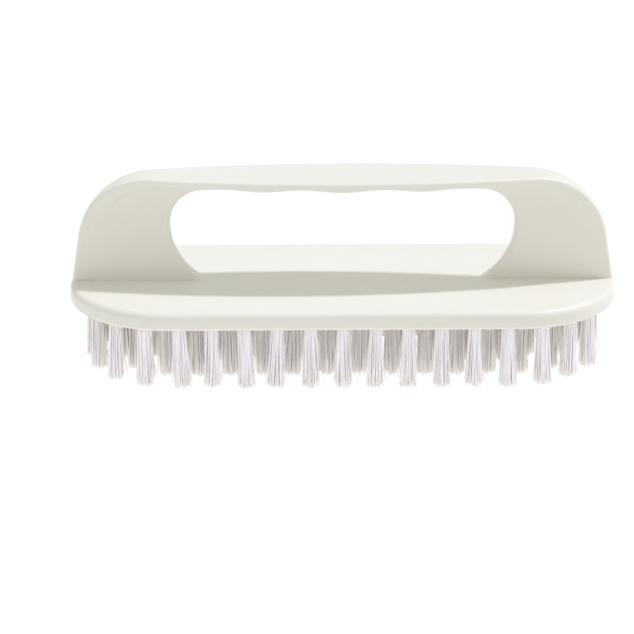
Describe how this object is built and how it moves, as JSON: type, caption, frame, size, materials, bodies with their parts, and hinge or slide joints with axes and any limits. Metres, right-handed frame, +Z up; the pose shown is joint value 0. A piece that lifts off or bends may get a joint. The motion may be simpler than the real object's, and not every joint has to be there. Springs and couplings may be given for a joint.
{
  "type": "nail brush",
  "caption": "Handled nail brush: an oval block of bristle tufts with a bridge grip over an opening for four fingers.",
  "frame": {"origin": "on the plane of the bristle tips, under the middle of the block", "axes": "+X along the brush, +Y across it to the side away from the user, +Z up from the bristle tips to the grip"},
  "size_m": [0.125, 0.048, 0.0441],
  "materials": {
    "moulding": "satin ivory moulded plastic",
    "filament": "white crimp-free nylon filament",
    "anchor_metal": "bright flat wire"
  },
  "bodies": {
    "root": {"block_and_handle": "moulding", "inner_ring_anchors": "anchor_metal", "inner_tufts_01": "filament", "inner_tufts_02": "filament", "inner_tufts_03": "filament", "inner_tufts_04": "filament", "inner_tufts_05": "filament", "inner_tufts_06": "filament", "inner_tufts_07": "filament", "inner_tufts_08": "filament", "inner_tufts_09": "filament", "inner_tufts_10": "filament", "inner_tufts_11": "filament", "inner_tufts_12": "filament", "inner_tufts_13": "filament", "middle_ring_anchors": "anchor_metal", "middle_tufts_01": "filament", "middle_tufts_02": "filament", "middle_tufts_03": "filament", "middle_tufts_04": "filament", "middle_tufts_05": "filament", "middle_tufts_06": "filament", "middle_tufts_07": "filament", "middle_tufts_08": "filament", "middle_tufts_09": "filament", "middle_tufts_10": "filament", "middle_tufts_11": "filament", "middle_tufts_12": "filament", "middle_tufts_13": "filament", "middle_tufts_14": "filament", "middle_tufts_15": "filament", "middle_tufts_16": "filament", "outer_ring_anchors": "anchor_metal", "outer_tufts_01": "filament", "outer_tufts_02": "filament", "outer_tufts_03": "filament", "outer_tufts_04": "filament", "outer_tufts_05": "filament", "outer_tufts_06": "filament", "outer_tufts_07": "filament", "outer_tufts_08": "filament", "outer_tufts_09": "filament", "outer_tufts_10": "filament", "outer_tufts_11": "filament", "outer_tufts_12": "filament", "outer_tufts_13": "filament", "outer_tufts_14": "filament", "outer_tufts_15": "filament", "outer_tufts_16": "filament", "outer_tufts_17": "filament", "outer_tufts_18": "filament", "outer_tufts_19": "filament"}
  },
  "joints": []
}
